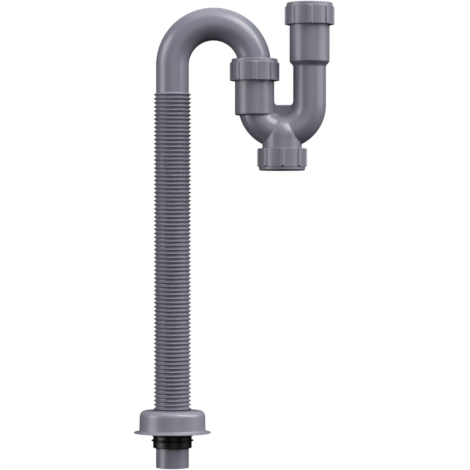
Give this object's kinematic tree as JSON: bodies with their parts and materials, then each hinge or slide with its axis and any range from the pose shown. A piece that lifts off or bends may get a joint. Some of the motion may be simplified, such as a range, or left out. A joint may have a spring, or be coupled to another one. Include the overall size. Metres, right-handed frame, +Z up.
{
  "type": "flexible sink trap",
  "caption": "P trap for a sink or basin waste, with slip-joint nuts, a cleanout, a smooth hook and a corrugated pipe down to a floor spigot with a cover.",
  "frame": {"origin": "centre of the inlet socket's mouth, inside the inlet nut", "axes": "+Z up along the inlet, towards the sink; the trap, hook and pipe lie in the XZ plane with the pipe towards -X"},
  "size_m": [0.1954, 0.075, 0.4532],
  "materials": {
    "trap_plastic": "moulded grey polypropylene, satin",
    "nut_plastic": "moulded grey polypropylene, satin",
    "ring_plastic": "moulded grey polyethylene",
    "pipe_plastic": "extruded and corrugated grey polypropylene, satin",
    "cover_plastic": "moulded grey polypropylene, satin",
    "seal_rubber": "black rubber",
    "sleeve_rubber": "black rubber, slightly glossy"
  },
  "bodies": {
    "trap": {"trap_body": "trap_plastic", "inlet_seal": "seal_rubber", "outlet_seal": "seal_rubber"},
    "inlet_ring": {"inlet_slip_ring": "ring_plastic"},
    "inlet_nut": {"inlet_nut": "nut_plastic"},
    "outlet_ring": {"outlet_slip_ring": "ring_plastic"},
    "outlet_nut": {"outlet_nut": "nut_plastic"},
    "cleanout_plug": {"cleanout_plug": "ring_plastic", "cleanout_seal": "seal_rubber"},
    "cleanout_nut": {"cleanout_nut": "nut_plastic"},
    "hook": {"outlet_bend": "pipe_plastic"},
    "pipe": {"corrugated_pipe": "pipe_plastic", "floor_sleeve": "sleeve_rubber"},
    "cover": {"floor_cover": "cover_plastic"}
  },
  "joints": [
    {"name": "inlet_nut_rise", "type": "slide", "parent": "trap", "child": "inlet_ring", "axis": [0, 0, 1], "range_m": [0, 0.01154]},
    {"name": "inlet_nut_turn", "type": "hinge", "parent": "inlet_ring", "child": "inlet_nut", "pos_m": [0, 0, 0], "axis": [0, 0, 1], "range_deg": [0, 1800]},
    {"name": "outlet_nut_rise", "type": "slide", "parent": "trap", "child": "outlet_ring", "axis": [0, 0, 1], "range_m": [0, 0.00231]},
    {"name": "outlet_nut_turn", "type": "hinge", "parent": "outlet_ring", "child": "outlet_nut", "pos_m": [-0.0536, 0, -0.0547], "axis": [0, 0, 1], "range_deg": [0, 360]},
    {"name": "cleanout_nut_drop", "type": "slide", "parent": "trap", "child": "cleanout_plug", "axis": [0, 0, -1], "range_m": [0, 0.01154]},
    {"name": "cleanout_nut_turn", "type": "hinge", "parent": "cleanout_plug", "child": "cleanout_nut", "pos_m": [-0.0268, 0, -0.1515], "axis": [0, 0, -1], "range_deg": [0, 1800]},
    {"name": "hook_swivel", "type": "hinge", "parent": "trap", "child": "hook", "pos_m": [-0.0536, 0, -0.0547], "axis": [0, 0, 1], "range_deg": [-125, 125]},
    {"name": "pipe_flex", "type": "hinge", "parent": "hook", "child": "pipe", "pos_m": [-0.1337, 0, -0.1412], "axis": [0, 1, 0], "range_deg": [-30, 30], "deforming": ["corrugated_pipe"]},
    {"name": "cover_slide", "type": "slide", "parent": "pipe", "child": "cover", "axis": [0, 0, 1], "range_m": [0, 0.18]}
  ],
  "couplings": [
    {"joint": "inlet_nut_rise", "follows": "inlet_nut_turn", "m_per_rad": 0.00036749},
    {"joint": "outlet_nut_rise", "follows": "outlet_nut_turn", "m_per_rad": 0.00036749},
    {"joint": "cleanout_nut_drop", "follows": "cleanout_nut_turn", "m_per_rad": 0.00036749}
  ]
}
